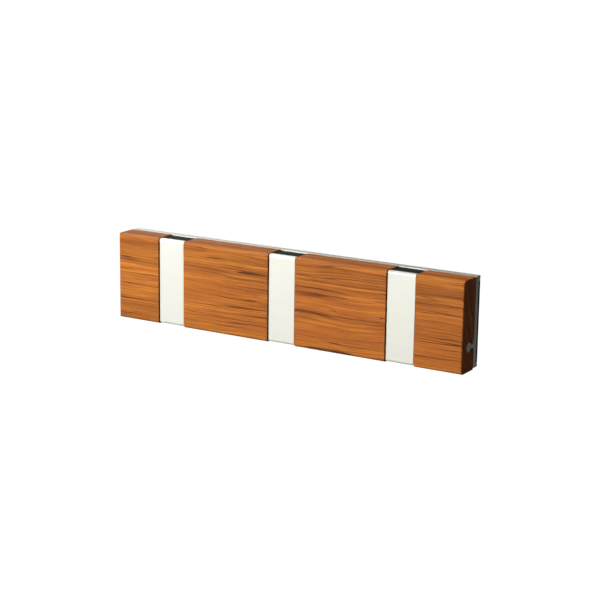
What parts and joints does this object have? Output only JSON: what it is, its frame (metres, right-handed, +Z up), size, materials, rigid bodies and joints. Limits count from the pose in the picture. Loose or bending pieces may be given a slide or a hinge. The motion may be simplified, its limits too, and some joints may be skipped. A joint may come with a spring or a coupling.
{
  "type": "wall coat rack",
  "caption": "Horizontal wall coat rack: wooden blocks on an aluminium rail, with flat metal hooks set flush between them that tip out from the top.",
  "frame": {"origin": "middle of the wall face: half the length, half the height, on the plane of the wall", "axes": "+X along the rack to its right end as seen from the front, -Y out of the front, +Y into the wall, +Z up"},
  "size_m": [0.3, 0.0252, 0.068],
  "materials": {
    "wood": "oiled, fine straight grain along the rack",
    "rail_aluminium": "satin anodised",
    "hook_aluminium": "satin anodised, pale",
    "black_plastic": "fine matt",
    "bush_plastic": "smooth",
    "foam": "closed-cell foam",
    "rubber": "matt",
    "steel": "zinc plated"
  },
  "bodies": {
    "rack": {"wall_rail": "rail_aluminium", "wall_pad": "foam", "wood_block_left_end": "wood", "wood_block_left_middle": "wood", "wood_block_right_middle": "wood", "wood_block_right_end": "wood", "block_screw_1": "steel", "block_screw_2": "steel", "block_screw_3": "steel", "block_screw_4": "steel", "block_screw_5": "steel", "block_screw_6": "steel", "hook_housing_left": "black_plastic", "hook_housing_middle": "black_plastic", "hook_housing_right": "black_plastic", "housing_screw_left": "steel", "housing_screw_middle": "steel", "housing_screw_right": "steel", "detent_spring_left": "steel", "detent_spring_middle": "steel", "detent_spring_right": "steel", "closing_bumper_left": "rubber", "closing_bumper_middle": "rubber", "closing_bumper_right": "rubber", "stop_bumper_left": "rubber", "stop_bumper_middle": "rubber", "stop_bumper_right": "rubber"},
    "left_hook": {"hook_left": "hook_aluminium", "pivot_bush_left": "bush_plastic"},
    "middle_hook": {"hook_middle": "hook_aluminium", "pivot_bush_middle": "bush_plastic"},
    "right_hook": {"hook_right": "hook_aluminium", "pivot_bush_right": "bush_plastic"}
  },
  "joints": [
    {"name": "left_hook_tip", "type": "hinge", "parent": "rack", "child": "left_hook", "pos_m": [-0.1, -0.0147, -0.0158], "axis": [1, 0, 0], "range_deg": [0, 45]},
    {"name": "middle_hook_tip", "type": "hinge", "parent": "rack", "child": "middle_hook", "pos_m": [0, -0.0147, -0.0158], "axis": [1, 0, 0], "range_deg": [0, 45]},
    {"name": "right_hook_tip", "type": "hinge", "parent": "rack", "child": "right_hook", "pos_m": [0.1, -0.0147, -0.0158], "axis": [1, 0, 0], "range_deg": [0, 45]}
  ]
}
